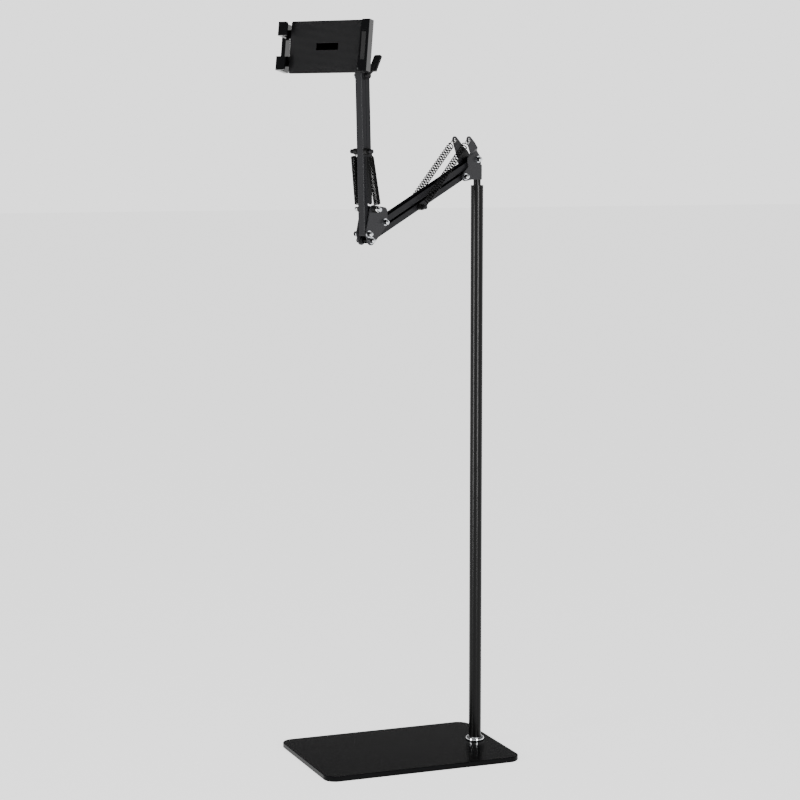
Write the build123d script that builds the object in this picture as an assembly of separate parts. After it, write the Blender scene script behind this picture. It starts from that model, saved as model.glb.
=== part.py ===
from build123d import *
import math
import os

# Adjustable arm phone stand, in millimetres. The origin is the middle of the underside of the base, on
# the floor, with +X along the base towards the pole and +Z up. Everything above the pole is drawn in
# the arm's own frame: x forward from the pole axis, y to the arm's near side, z up from the floor.
# ARM_TURN turns that frame about the pole.

# base
BASE_LENGTH = 360.0
BASE_WIDTH = 254.0
BASE_THICK = 8.0
BASE_CORNER = 22.0
BASE_EDGE = 0.8
PAD_THICK = 1.5
PAD_INSET = 1.5
POLE_FROM_EDGE = 34.7

# pole
TUBE_OD = 22.0
TUBE_WALL = 1.5
TUBE_LENGTH = 491.5
TUBE_SEAM = 0.6
PLUG_LENGTH = 40.0
JOINER_LENGTH = 60.0
FIT_GAP = 0.05
COLLAR_OD = 33.0
COLLAR_HEIGHT = 8.0
BUSH_FLANGE = 5.0
BUSH_DEPTH = 62.0
BUSH_FLOOR = 3.0
BASE_BOLT_D = 10.0
BASE_BOLT_ACROSS = 15.0
BASE_BOLT_HEAD = 2.8
BASE_FLANGE_D = 17.5
BASE_FLANGE = 1.6
COUNTER_D = 20.0
COUNTER_DEPTH = 4.6
PIN_D_POLE = 13.0
NECK_SHOWN = 9.7

# arm plan and angles
ARM_TURN = 204.43
ARM_LENGTH = 251.5
LINK_SPACING = 43.9
LINK_ANGLE = 137.5
LOWER_PITCH = -24.0
LOWER_PIVOT_FORWARD = 43.8
LOWER_PIVOT_RISE = 15.0
ARM_DROP = 4.5
BLOCK_WALL = 2.0
BLOCK_REACH = 29.0
ROOM_BACK = 10.0
ROOM_CLEAR = 0.8
UPPER_LEAN = 1.6
UPPER_LENGTH = 260.0
TILT_DOWN = 1.6
TILT_BACK = 4.6

# channels
CHANNEL_WIDTH = 15.0
CHANNEL_DEPTH = 10.0
FRONT_CHANNEL_DEPTH = 9.0
CHANNEL_WALL = 1.2
BEND_R = 1.2
CHANNEL_SPACING = 10.0
REAR_CHANNEL_START = 48.0

# plates
PLATE_THICK = 2.0
PLATE_INNER = 10.0
LOBE_R = 7.5
EAR_STEP = 5.5
EAR_R = 5.8
EAR_HOLE_D = 5.0

# fasteners at the arm pivots
BOLT_D = 5.0
WASHER_D = 11.8
WASHER_THICK = 1.6
NUT_ACROSS = 8.0
NUT_THICK = 6.0
NUT_COLLAR = 1.8
BOLT_TAIL = 1.4
SPACER_D = 9.0
SLEEVE_D = 10.6

# springs
WIRE_D = 2.0
COIL_OD = 11.6
LOWER_CURLS = 25
UPPER_CURLS = 25
SPRING_OFFSET = 18.0
POST_SPRING_OFFSET = 22.5
HOOK_GAP = 0.25
EAR_HOOK_R = 3.0
PIN_D = 5.0
PIN_REACH = 20.2
POST_REACH = 24.6
KNOB_D = 7.4
KNOB_THICK = 4.6
KNOB_EDGE = 0.9
PIN_FROM_OUTER_PIVOT = 121.5
LOWER_EAR_LEAD = 14.0
LOWER_PIN_LEAD = 13.0
UPPER_PIN_LEAD = 8.0
UPPER_POST_LEAD = 8.5

# head
TIP_HEIGHT = 13.0
TONGUE_DOWN = 22.0
YOKE_CHEEK = 2.4
YOKE_GAP = 0.5
YOKE_EYE_R = 6.6
YOKE_KNEE_RISE = 8.0
YOKE_WEB_AHEAD = 13.8
YOKE_WEB_RISE = 19.2
YOKE_WEB_R = 6.0
YOKE_NECK_R = 5.0
TILT_BOLT_D = 6.0
SWIVEL_AHEAD = 50.42
SWIVEL_BORE_D = 8.0
BOSS_D = 18.0
BOSS_HEIGHT = 14.0
BOSS_RISE = 20.6
BALL_D = 14.0
BALL_NECK_D = 7.0
BALL_FROM_SWIVEL = 18.0
BALL_FROM_SHELL = 11.0
KNUCKLE_D = 12.8
KNUCKLE_FLAT = 5.4
STUD_D = 4.4
STUD_DEEP = 4.4
HOLDER_TURN = 17.0
HOLDER_TILT = 9.0
HOLDER_RISE = 44.2
LEVER_ANGLE = 118.0
HUB_D = 9.5
HUB_LENGTH = 5.6
SHANK_D = 4.4
BARREL_D = 7.6
BARREL_LENGTH = 12.0
BLADE_FROM = 8.5
TILT_HEAD_D = 11.0
TILT_HEAD = 3.4
LEVER_LENGTH = 38.0
BLADE_WIDTH = 16.0
BLADE_THICK = 3.4

# holder
PANEL_WIDTH = 137.0
PANEL_HEIGHT = 84.6
PANEL_THICK = 3.0
PANEL_CORNER = 3.0
SHELL_WIDTH = 130.6
SHELL_HEIGHT = 80.6
SHELL_DEPTH = 12.0
SHELL_WALL = 2.0
RECESS_WIDTH = 39.8
RECESS_HEIGHT = 11.2
RECESS_DEPTH = 1.2
SCREW_INSET = 7.7
HOOK_CORNER = 3.0
FIXED_HEIGHT = 82.8
FIXED_DROP = 0.9
FIXED_OUTER = 81.0
FIXED_WALL = 5.0
FIXED_LOW = -1.0
FIXED_REACH = 13.2
FIXED_TIP = 2.8
FIXED_HOOK = 14.8
FIXED_HOOK_HEIGHT = 18.0
FIXED_FOOT_WIDTH = 6.7
LIP_FROM = 59.0
LIP_FLARE = 2.4
LIP_SLOPE = 2.6
LIP_THICK = 1.8
LIP_HEIGHT = 79.0
LIP_CORNER = 6.0
SLIDING_HEIGHT = 78.2
SLIDING_OUTER = 85.0
SLIDING_WALL = 7.5
SLIDING_FRONT = -1.0
SLIDING_REACH = 15.0
SLIDING_TIP = 3.6
SLIDING_HOOK = 17.1
SLIDING_HOOK_HEIGHT = 22.2
SLIDING_ROUND = 2.5
TONGUE_WIDTH = 16.0
TONGUE_THICK = 4.0
TONGUE_LENGTH = 61.5
TONGUE_APART = 43.0
TONGUE_GAP = 0.35
GUIDE_FROM = -51.8
GUIDE_TO = -20.0
ANCHOR_X = 48.0
ANCHOR_D = 6.0
JAW_SPRING_D = 6.0
JAW_SPRING_BORE = 4.4
PAD_FACE = 1.0
STRIP_THICK = 0.6
SOCKET_D = 36.0
SOCKET_FLANGE = 3.0
SOCKET_SCREW = 11.2
MOUTH_BACK = 4.2
RING_D = 27.0
RING_BORE = 20.1
RING_LIP = 2.0
RING_MOUTH = 13.6
RING_GRIPS = 12
BALL_GAP = 0.3

# places worked out from the sizes above
BASE_TOP = PAD_THICK + BASE_THICK
POLE_X = BASE_LENGTH / 2 - POLE_FROM_EDGE
SEAM_Z = BASE_TOP + TUBE_LENGTH
TUBE_TOP = SEAM_Z + TUBE_SEAM + TUBE_LENGTH
POLE_TOP = TUBE_TOP + BUSH_FLANGE
PLATE_MID = PLATE_INNER + PLATE_THICK / 2
PLATE_OUTER = PLATE_INNER + PLATE_THICK


def polar(start, length, angle):
    """The point at a length and an angle from another, in the arm's x, z plane."""
    turn = math.radians(angle)
    return (start[0] + length * math.cos(turn), start[1] + length * math.sin(turn))


S2 = (LOWER_PIVOT_FORWARD, POLE_TOP + LOWER_PIVOT_RISE)
S1 = polar(S2, LINK_SPACING, LINK_ANGLE)
D = polar(S2, ARM_LENGTH, LOWER_PITCH)
B = polar(S1, ARM_LENGTH, LOWER_PITCH)
C = (D[0] + 5.9, D[1] + 10.7)
POST = (D[0] - 5.1, D[1] + 51.2)
EAR = (S2[0] - 4.1, S2[1] + 63.5)
UPPER_ANGLE = 90.0 - UPPER_LEAN
T = polar(polar(C, UPPER_LENGTH - TILT_DOWN, UPPER_ANGLE), TILT_BACK, UPPER_ANGLE + 90.0)
LOWER_PIN = polar(S2, PIN_FROM_OUTER_PIVOT, LOWER_PITCH)
UPPER_PIN = polar(C, UPPER_LENGTH - PIN_FROM_OUTER_PIVOT - 3.0, UPPER_ANGLE)
HOLDER_Z = T[1] + HOLDER_RISE
SWIVEL_FORWARD = T[0] + SWIVEL_AHEAD

parts = {}


def keep(name, shape):
    """Names one sub-part, turned from the arm's frame into the stand's."""
    parts[name] = Location((POLE_X, 0, 0), (0, 0, ARM_TURN)) * shape


def keep_root(name, shape):
    """Names one sub-part that is drawn in the stand's own frame."""
    parts[name] = shape


def rod(x, z, y0, y1, diameter):
    """A round bar across the arm, from y0 to y1, centred on x, z."""
    middle = Location((x, (y0 + y1) / 2, z), (90, 0, 0))
    return middle * Cylinder(diameter / 2, abs(y1 - y0))


def tube_across(x, z, y0, y1, outer, inner):
    """A round sleeve across the arm."""
    return rod(x, z, y0, y1, outer) - rod(x, z, y0 - 1, y1 + 1, inner)


def upright(x, y, z0, z1, diameter):
    """A vertical round bar from z0 to z1."""
    return Location((x, y, (z0 + z1) / 2)) * Cylinder(diameter / 2, z1 - z0)


def hull_plate(circles, y0, y1):
    """A flat plate in the x, z plane whose outline is pulled tight round some circles."""
    edges = [Location((c[0], c[1])) * Edge.make_circle(c[2]) for c in circles]
    flat = make_hull(edges)
    face = Plane(origin=(0, y0, 0), x_dir=(1, 0, 0), z_dir=(0, -1, 0)) * flat
    return extrude(face, amount=y1 - y0, dir=(0, 1, 0))


def on_bar(start, angle):
    """The frame of a bar: x along it, y across the arm, z square to both."""
    return Location((start[0], 0, start[1]), (0, -angle, 0))


def folded(length, depth, end):
    """A long bar, twice as deep as a channel, whose two long edges at one end of Z are bent round."""
    bar = Box(length, CHANNEL_WIDTH, 2 * depth)
    edges = bar.edges().filter_by(Axis.X).group_by(Axis.Z)[end]
    return fillet(edges, BEND_R)


def channel(start, angle, length, depth, tail, holes):
    """A folded channel with half-round ends, open on its upper side, bored at each hole."""
    outline = Plane.XZ * SlotCenterToCenter(length + 2 * tail, depth)
    solid = Location((length / 2, CHANNEL_WIDTH / 2, 0)) * extrude(outline, amount=CHANNEL_WIDTH)
    solid &= Location((length / 2, 0, depth / 2)) * folded(length + 4 * depth, depth, 0)
    inside = CHANNEL_WIDTH - 2 * CHANNEL_WALL
    hollow = Box(length + 4 * depth, inside, depth)
    solid -= Location((length / 2, 0, CHANNEL_WALL)) * hollow
    for along, size in holes:
        solid -= Location((along, 0, 0), (90, 0, 0)) * Cylinder(size / 2, 2 * CHANNEL_WIDTH)
    return on_bar(start, angle) * solid


# base pad and plate
pad_outline = RectangleRounded(
    BASE_LENGTH - 2 * PAD_INSET, BASE_WIDTH - 2 * PAD_INSET, BASE_CORNER - PAD_INSET
)
pad = extrude(pad_outline, amount=PAD_THICK)
pad -= upright(POLE_X, 0, -1, PAD_THICK + 1, COUNTER_D)
keep_root("base_pad", pad)

plate = extrude(RectangleRounded(BASE_LENGTH, BASE_WIDTH, BASE_CORNER), amount=BASE_THICK)
plate = Location((0, 0, PAD_THICK)) * plate
plate = chamfer(plate.faces().sort_by(Axis.Z)[-1].edges(), BASE_EDGE)
counter_top = PAD_THICK + COUNTER_DEPTH
plate -= upright(POLE_X, 0, 0, BASE_TOP + 1, BASE_BOLT_D + 2 * FIT_GAP)
plate -= upright(POLE_X, 0, 0, counter_top, COUNTER_D)
keep_root("base_plate", plate)

# flanged bolt that pulls the pole down on the plate
flange_low = counter_top - BASE_FLANGE
bolt_top = BASE_TOP + PLUG_LENGTH - 8
bolt = Location((POLE_X, 0, flange_low - BASE_BOLT_HEAD)) * extrude(
    RegularPolygon(BASE_BOLT_ACROSS / 2, 6, major_radius=False), amount=BASE_BOLT_HEAD
)
bolt += upright(POLE_X, 0, flange_low, counter_top, BASE_FLANGE_D)
bolt += upright(POLE_X, 0, counter_top, bolt_top, BASE_BOLT_D)
keep_root("base_bolt", bolt)

# foot collar, tubes, plug, joiner and top bush
tube_id = TUBE_OD - 2 * TUBE_WALL
profile = Plane.XZ * make_face(
    Polyline(
        (TUBE_OD / 2 + FIT_GAP, BASE_TOP),
        (COLLAR_OD / 2, BASE_TOP),
        (COLLAR_OD / 2, BASE_TOP + COLLAR_HEIGHT * 0.35),
    )
    + ThreePointArc(
        (COLLAR_OD / 2, BASE_TOP + COLLAR_HEIGHT * 0.35),
        (COLLAR_OD / 2 - 1.6, BASE_TOP + COLLAR_HEIGHT * 0.8),
        (TUBE_OD / 2 + 1.4, BASE_TOP + COLLAR_HEIGHT),
    )
    + Polyline(
        (TUBE_OD / 2 + 1.4, BASE_TOP + COLLAR_HEIGHT),
        (TUBE_OD / 2 + FIT_GAP, BASE_TOP + COLLAR_HEIGHT),
        (TUBE_OD / 2 + FIT_GAP, BASE_TOP),
    )
)
keep_root("foot_collar", Location((POLE_X, 0, 0)) * revolve(profile, Axis.Z))


def pole_tube(z0, z1):
    """One pole tube, open right through."""
    return upright(POLE_X, 0, z0, z1, TUBE_OD) - upright(POLE_X, 0, z0 - 1, z1 + 1, tube_id)


keep_root("lower_tube", pole_tube(BASE_TOP, SEAM_Z))
keep_root("upper_tube", pole_tube(SEAM_Z + TUBE_SEAM, TUBE_TOP))
plug = upright(POLE_X, 0, BASE_TOP, BASE_TOP + PLUG_LENGTH, tube_id)
plug -= upright(POLE_X, 0, BASE_TOP - 1, bolt_top, BASE_BOLT_D)
keep_root("foot_plug", plug)
middle = SEAM_Z + TUBE_SEAM / 2
joiner = upright(POLE_X, 0, middle - JOINER_LENGTH / 2, middle + JOINER_LENGTH / 2, tube_id)
joiner += upright(POLE_X, 0, SEAM_Z, SEAM_Z + TUBE_SEAM, TUBE_OD - 1.2)
keep_root("tube_joiner", joiner)
bush = upright(POLE_X, 0, TUBE_TOP, POLE_TOP, TUBE_OD)
bush += upright(POLE_X, 0, TUBE_TOP - BUSH_DEPTH, TUBE_TOP, tube_id)
bush -= upright(POLE_X, 0, TUBE_TOP - BUSH_DEPTH + BUSH_FLOOR, POLE_TOP + 1, PIN_D_POLE + 2 * FIT_GAP)
keep_root("top_bush", bush)

# swivel pin, drawn in the arm's frame from here on
block_low = POLE_TOP + NECK_SHOWN
block_top = S1[1] - 9.4
pin_low = TUBE_TOP - BUSH_DEPTH + BUSH_FLOOR + 0.2
keep("swivel_pin", upright(0, 0, pin_low, block_top - 2, PIN_D_POLE))

# shoulder block between the plates, cut away under the top channel at its lowest
block = upright(0, 0, block_low, block_top, PIN_D_POLE + 2 * BLOCK_WALL)
lug = Box(BLOCK_REACH, 2 * PLATE_INNER, block_top - block_low)
block += Location((2.8 + BLOCK_REACH / 2, 0, (block_top + block_low) / 2)) * lug
block -= upright(0, 0, block_low - 1, block_top - 2, PIN_D_POLE)
room_long = 2 * (BLOCK_REACH + ROOM_BACK)
room_tall = 2 * BLOCK_REACH
room = Location(
    (room_long / 2 - ROOM_BACK, 0, room_tall / 2 - CHANNEL_DEPTH / 2 - ROOM_CLEAR)
) * Box(room_long, 3 * CHANNEL_WIDTH, room_tall)
block -= on_bar(S1, LOWER_PITCH - ARM_DROP) * room
keep("shoulder_block", block)

# shoulder plates with their spring ears stepped outwards
STEP_ANGLE = 60.0
step_start = (EAR[0] - 9.7, EAR[1] - 27.4)


def shoulder_outline(y0, y1):
    """The plate's whole outline: pivot lobes, lower corner, and the ear on its neck."""
    corner = (PLATE_THICK + 4.6, block_low + 4)
    pivot_lobe = (S1[0], S1[1], LOBE_R + 0.4)
    waist = (EAR[0] - 9.3, EAR[1] - 24.6, 5.0)
    body = hull_plate(
        [
            pivot_lobe,
            (corner[0], corner[1], 4.0),
            (S2[0] - 12.8, block_low + 4, 4.0),
            (S2[0] - 11.8, S1[1] - 1.5, 4.6),
            waist,
        ],
        y0,
        y1,
    )
    lobe = hull_plate(
        [(S2[0], S2[1], LOBE_R), (S2[0] - 17.8, S2[1] + 2, 7.0), (S2[0] - 15.8, S2[1] + 14, 7.0)], y0, y1
    )
    neck = hull_plate([(EAR[0], EAR[1], EAR_R), (EAR[0] - 9.7, EAR[1] - 8.6, 6.0), pivot_lobe, waist], y0, y1)
    return body + lobe + neck


def stepped_sheet():
    """A sheet as thick as the plate that steps outwards along the ear."""
    far_back = -60.0
    ramp = 6.5
    end = 40.0
    outer = PLATE_INNER + EAR_STEP
    pts = [
        (far_back, PLATE_INNER),
        (0, PLATE_INNER),
        (ramp, outer),
        (end, outer),
        (end, outer + PLATE_THICK),
        (ramp - 0.7, outer + PLATE_THICK),
        (-0.7, PLATE_OUTER),
        (far_back, PLATE_OUTER),
    ]
    flat = make_face(Polyline(*pts, close=True))
    slab = extrude(flat, amount=60, both=True)
    place = Location((step_start[0], 0, step_start[1]), (0, -STEP_ANGLE, 0))
    return place * slab


near_shoulder = shoulder_outline(0, 30) & stepped_sheet()
near_shoulder -= rod(S1[0], S1[1], 0, 40, BOLT_D + 2 * FIT_GAP)
near_shoulder -= rod(S2[0], S2[1], 0, 40, BOLT_D + 2 * FIT_GAP)
near_shoulder -= rod(EAR[0], EAR[1], 0, 40, EAR_HOLE_D)
keep("shoulder_plate_near", near_shoulder)
keep("shoulder_plate_far", mirror(near_shoulder, about=Plane.XZ))

# fasteners, one node for each kind and body
def pivot_bolt(point):
    """A hexagon-headed bolt right through both plates, head on the far side."""
    far = -(PLATE_OUTER + WASHER_THICK)
    tip = PLATE_OUTER + WASHER_THICK + NUT_THICK + BOLT_TAIL
    shank = rod(point[0], point[1], far, tip, BOLT_D)
    shank = chamfer(shank.edges().sort_by(Axis.Y)[-1], BOLT_TAIL / 2)
    outline = RegularPolygon(NUT_ACROSS / 2, 6, major_radius=False)
    head = Location((point[0], far, point[1]), (90, 0, 0)) * extrude(outline, amount=NUT_THICK - 0.4)
    return shank + head


def pivot_nut(point):
    """A lock nut on the near side: a hexagon with a round collar, its rim broken, on the end."""
    low = PLATE_OUTER + WASHER_THICK
    outline = RegularPolygon(NUT_ACROSS / 2, 6, major_radius=False)
    nut = Location((point[0], low, point[1]), (-90, 0, 0)) * extrude(outline, amount=NUT_THICK - NUT_COLLAR)
    collar = rod(point[0], point[1], low, low + NUT_THICK, 0.94 * NUT_ACROSS)
    nut += chamfer(collar.edges().sort_by(Axis.Y)[-1], NUT_COLLAR / 2)
    return nut - rod(point[0], point[1], low - 1, low + 2 * NUT_THICK, BOLT_D)


def pivot_washers(point):
    """The two plain washers of one bolt."""
    return [
        tube_across(point[0], point[1], PLATE_OUTER, PLATE_OUTER + WASHER_THICK, WASHER_D, BOLT_D),
        tube_across(point[0], point[1], -PLATE_OUTER - WASHER_THICK, -PLATE_OUTER, WASHER_D, BOLT_D),
    ]


def pivot_spacers(point):
    """The two sleeves that centre a channel between the plates."""
    inner = CHANNEL_WIDTH / 2 + 0.1
    bore = BOLT_D + 2 * FIT_GAP
    return [
        tube_across(point[0], point[1], inner, PLATE_INNER, SPACER_D, bore),
        tube_across(point[0], point[1], -PLATE_INNER, -inner, SPACER_D, bore),
    ]


def fasteners(prefix, points):
    """The bolts, nuts, washers and spacers of some pivots, each kind in one node."""
    keep(prefix + "_bolts", Compound([pivot_bolt(p) for p in points]))
    keep(prefix + "_nuts", Compound([pivot_nut(p) for p in points]))
    keep(prefix + "_washers", Compound([w for p in points for w in pivot_washers(p)]))
    keep(prefix + "_spacers", Compound([w for p in points for w in pivot_spacers(p)]))


fasteners("shoulder", [S1, S2])

# lower arm channels
pivot_bore = BOLT_D + 2 * FIT_GAP
lower_holes = [(0, pivot_bore), (ARM_LENGTH, pivot_bore)]
bottom = channel(
    S2, LOWER_PITCH, ARM_LENGTH, CHANNEL_DEPTH, 0, lower_holes + [(PIN_FROM_OUTER_PIVOT, PIN_D)]
)
keep("lower_bottom_channel", bottom)
keep("lower_top_channel", channel(S1, LOWER_PITCH, ARM_LENGTH, CHANNEL_DEPTH, 0, lower_holes))


def spring_pin(name, point, reach, sleeve_from):
    """A cross pin with a knob on each end, and the sleeves that keep the spring hooks outboard."""
    bar = rod(point[0], point[1], -reach - KNOB_THICK, reach + KNOB_THICK, PIN_D)
    knob = rod(point[0], point[1], reach, reach + KNOB_THICK, KNOB_D)
    knob = chamfer(knob.edges().sort_by(Axis.Y)[-1], KNOB_EDGE) - bar
    knobs = [knob, mirror(knob, about=Plane.XZ)]
    low = sleeve_from
    high = reach - 2 * WIRE_D - 0.6
    sleeves = [
        tube_across(point[0], point[1], low, high, SLEEVE_D, PIN_D),
        tube_across(point[0], point[1], -high, -low, SLEEVE_D, PIN_D),
    ]
    keep(name, bar)
    keep(name + "_knobs", Compound(knobs))
    keep(name + "_sleeves", Compound(sleeves))


spring_pin("lower_spring_pin", LOWER_PIN, PIN_REACH, CHANNEL_WIDTH / 2)

# elbow plates
elbow_lobes = [
    (POST[0], POST[1], 7.0),
    (B[0] + 1.3, B[1] + 17.7, 7.0),
    (B[0], B[1], LOBE_R),
    (D[0], D[1], LOBE_R + 0.5),
    (C[0], C[1], LOBE_R - 1.5),
]
near_elbow = hull_plate(elbow_lobes, PLATE_INNER, PLATE_OUTER)
for point in (B, D, C, POST):
    near_elbow -= rod(point[0], point[1], 0, 40, pivot_bore)
keep("elbow_plate_near", near_elbow)
keep("elbow_plate_far", mirror(near_elbow, about=Plane.XZ))
fasteners("elbow", [B, D, C])
spring_pin("spring_post", POST, POST_REACH, PLATE_OUTER)
keep("spring_post_spacer", tube_across(POST[0], POST[1], -PLATE_INNER, PLATE_INNER, SPACER_D - 1, PIN_D))

# upper arm: front and rear channels, closed and joined by the tip block
rear_run = UPPER_LENGTH - TIP_HEIGHT / 2
front_run = rear_run + TIP_HEIGHT
upper_pin_along = UPPER_LENGTH - PIN_FROM_OUTER_PIVOT - 3.0


def upper_channel(start, begin, end, depth, face_out, holes):
    """A channel of the upper arm: x from begin to end, its web facing face_out (+1 back, -1 front)."""
    side = Plane.XZ * (
        Location(((begin + end) / 2, 0)) * Rectangle(end - begin, depth)
        + Location((begin, 0)) * Circle(depth / 2)
    )
    solid = Location((0, CHANNEL_WIDTH / 2, 0)) * extrude(side, amount=CHANNEL_WIDTH)
    end_of_bend = 0 if face_out < 0 else -1
    middle = (begin + end) / 2
    solid &= Location((middle, 0, -face_out * depth / 2)) * folded(end - begin + 4 * depth, depth, end_of_bend)
    inside = CHANNEL_WIDTH - 2 * CHANNEL_WALL
    hollow = Box(end - begin + 4 * depth, inside, depth)
    solid -= Location((middle, 0, -face_out * CHANNEL_WALL)) * hollow
    for along, size in holes:
        solid -= Location((along, 0, 0), (90, 0, 0)) * Cylinder(size / 2, 2 * CHANNEL_WIDTH)
    return on_bar(start, UPPER_ANGLE) * solid


rear_axis = polar(C, CHANNEL_SPACING, UPPER_ANGLE + 90)
front_channel = upper_channel(
    C, 0, front_run, FRONT_CHANNEL_DEPTH, -1, [(0, pivot_bore), (upper_pin_along, PIN_D)]
)
front_channel -= rod(T[0], T[1], -CHANNEL_WIDTH, CHANNEL_WIDTH, TILT_BOLT_D + 2 * FIT_GAP)
keep("upper_front_channel", front_channel)
rear_low = REAR_CHANNEL_START + CHANNEL_DEPTH / 2
rear_channel = upper_channel(rear_axis, rear_low, rear_run, CHANNEL_DEPTH, 1, [])
keep("upper_rear_channel", rear_channel)
spring_pin("upper_spring_pin", UPPER_PIN, PIN_REACH, CHANNEL_WIDTH / 2)

# tip block: it fills the end of the front channel, caps the rear one and has a tongue down inside each
cap_front = FRONT_CHANNEL_DEPTH / 2
cap_back = CHANNEL_SPACING + CHANNEL_DEPTH / 2
cap = Box(TIP_HEIGHT, CHANNEL_WIDTH, cap_back - cap_front)
cap = Location((rear_run + TIP_HEIGHT / 2, 0, (cap_back + cap_front) / 2)) * cap
tongue_width = CHANNEL_WIDTH - 2 * CHANNEL_WALL
front_tongue = Box(TONGUE_DOWN + TIP_HEIGHT, tongue_width, FRONT_CHANNEL_DEPTH - CHANNEL_WALL)
rear_tongue = Box(TONGUE_DOWN, tongue_width, CHANNEL_DEPTH - CHANNEL_WALL)
cap += Location((front_run - (TONGUE_DOWN + TIP_HEIGHT) / 2, 0, CHANNEL_WALL / 2)) * front_tongue
cap += Location((rear_run - TONGUE_DOWN / 2, 0, CHANNEL_SPACING - CHANNEL_WALL / 2)) * rear_tongue
cap = on_bar(C, UPPER_ANGLE) * cap
cap -= rod(T[0], T[1], -20, 20, TILT_BOLT_D + 2 * FIT_GAP)
keep("tip_block", cap)

# springs: one unbroken wire each, curled between a hook at either end
def arcs_between(start, start_dir, end, end_dir):
    """Two circular arcs that leave start and reach end along the given directions."""
    across = end - start
    both = start_dir + end_dir
    along = across.dot(both)
    spread = 2 * (1 - start_dir.dot(end_dir))
    root = math.sqrt(along * along + spread * across.dot(across))
    reach = (root - along) / spread
    middle = (start + start_dir * reach + end - end_dir * reach) * 0.5
    first = Edge.make_tangent_arc(start, start_dir, middle)
    second = Edge.make_tangent_arc(middle, first % 1, end)
    return [first, second]


def least_gap(points, wire):
    """The least clear distance between stretches of a wire that are apart along it."""
    step = (points[1] - points[0]).length
    skip = int(3.2 * wire / step) + 1
    least = 1e9
    for i, p in enumerate(points):
        for q in points[i + skip :: 2]:
            if abs(p.Z - q.Z) < 12:
                least = min(least, (p - q).length)
    return least - wire


def spring(name, start, end, curls, start_lead, end_lead, start_hook):
    """A coil spring on the near side and its mirror image on the far side, one node each."""
    a = (end - start).normalized()
    y = (Vector(0, 1, 0) - a * a.Y).normalized()
    x = y.cross(a)
    length = (end - start).length
    coil_r = (COIL_OD - WIRE_D) / 2
    pin_r = PIN_D / 2 + HOOK_GAP + WIRE_D / 2
    ease = 6.0
    edges = []
    if start_hook == "ear":
        # the hook goes in through the ear's hole and its free end comes down the inner side
        out = y
        hook_r = EAR_HOOK_R
        centre = start + a * hook_r
        edges.append(Line(centre - y * hook_r + a * 2, centre - y * hook_r).edge())
        edges.append(ThreePointArc(centre - y * hook_r, centre - a * hook_r, centre + y * hook_r).edge())
        here = centre + out * hook_r
    else:
        out = x
        hook_r = pin_r
        edges.append(ThreePointArc(start - x * hook_r, start - a * hook_r, start + x * hook_r).edge())
        here = start + out * hook_r
    coil_from = start_lead
    coil_to = length - end_lead
    straight_end = start + a * (coil_from - ease) + out * hook_r
    if (straight_end - here).length > 0.01:
        edges.append(Line(here, straight_end).edge())
    begin_angle = math.pi / 2 if start_hook == "ear" else 0.0
    turns = curls - 0.25 if start_hook == "ear" else curls
    run = coil_to - coil_from
    radial = 2 * math.pi * turns * coil_r
    whole = math.hypot(radial, run)

    def at(share):
        """A point of the coil and its direction, at a share of its length."""
        turn = begin_angle + 2 * math.pi * turns * share
        place = start + a * (coil_from + run * share)
        place += (x * math.cos(turn) + y * math.sin(turn)) * coil_r
        sideways = (y * math.cos(turn) - x * math.sin(turn)) * (radial / whole)
        return place, sideways + a * (run / whole)

    first, first_dir = at(0.0)
    edges += arcs_between(straight_end, a, first, first_dir)
    pieces = round(2 * turns)
    for i in range(pieces):
        p, p_dir = at(i / pieces)
        q, q_dir = at((i + 1) / pieces)
        edges += arcs_between(p, p_dir, q, q_dir)
    last, last_dir = at(1.0)
    straight_start = start + a * (coil_to + ease) + x * pin_r
    edges += arcs_between(last, last_dir, straight_start, a)
    abreast = end + x * pin_r
    if (abreast - straight_start).length > 0.01:
        edges.append(Line(straight_start, abreast).edge())
    edges.append(ThreePointArc(abreast, end + a * pin_r, end - x * pin_r).edge())
    path = Wire(edges)
    section = Plane(origin=path @ 0, z_dir=path % 0) * Circle(WIRE_D / 2)
    near = sweep(section, path=path)
    samples = int(path.length / 1.1)
    points = [path @ (i / samples) for i in range(samples + 1)]
    print(name, "least gap to itself", round(least_gap(points, WIRE_D), 2), "length", round(path.length))
    print(name, "volume over section times length", round(near.volume / (math.pi * path.length), 4))
    keep(name + "_near", near)
    keep(name + "_far", mirror(near, about=Plane.XZ))


ear_mid = PLATE_INNER + EAR_STEP + PLATE_THICK / 2
spring(
    "lower_spring",
    Vector(EAR[0], ear_mid, EAR[1]),
    Vector(LOWER_PIN[0], SPRING_OFFSET, LOWER_PIN[1]),
    LOWER_CURLS,
    LOWER_EAR_LEAD,
    LOWER_PIN_LEAD,
    "ear",
)
spring(
    "upper_spring",
    Vector(UPPER_PIN[0], SPRING_OFFSET, UPPER_PIN[1]),
    Vector(POST[0], POST_SPRING_OFFSET, POST[1]),
    UPPER_CURLS,
    UPPER_PIN_LEAD,
    UPPER_POST_LEAD,
    "pin",
)

# tilt yoke: two cheeks on the tip block, a web in front of it and a neck out to the swivel boss
cheek_in = CHANNEL_WIDTH / 2 + YOKE_GAP
cheek_out = cheek_in + YOKE_CHEEK
web = (T[0] + YOKE_WEB_AHEAD, T[1] + YOKE_WEB_RISE, YOKE_WEB_R)
eye = (T[0], T[1], YOKE_EYE_R)
boss_mid = T[1] + BOSS_RISE
boss_low = boss_mid - BOSS_HEIGHT / 2
boss_top = boss_mid + BOSS_HEIGHT / 2
knee = (T[0], T[1] + YOKE_KNEE_RISE, YOKE_EYE_R)
yoke = hull_plate([eye, knee], cheek_in, cheek_out) + hull_plate([knee, web], cheek_in, cheek_out)
yoke += mirror(yoke, about=Plane.XZ)
yoke += hull_plate([web, (web[0] + 4, web[1], YOKE_WEB_R)], -cheek_out, cheek_out)
neck_end = (SWIVEL_FORWARD, boss_mid, YOKE_NECK_R)
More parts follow.
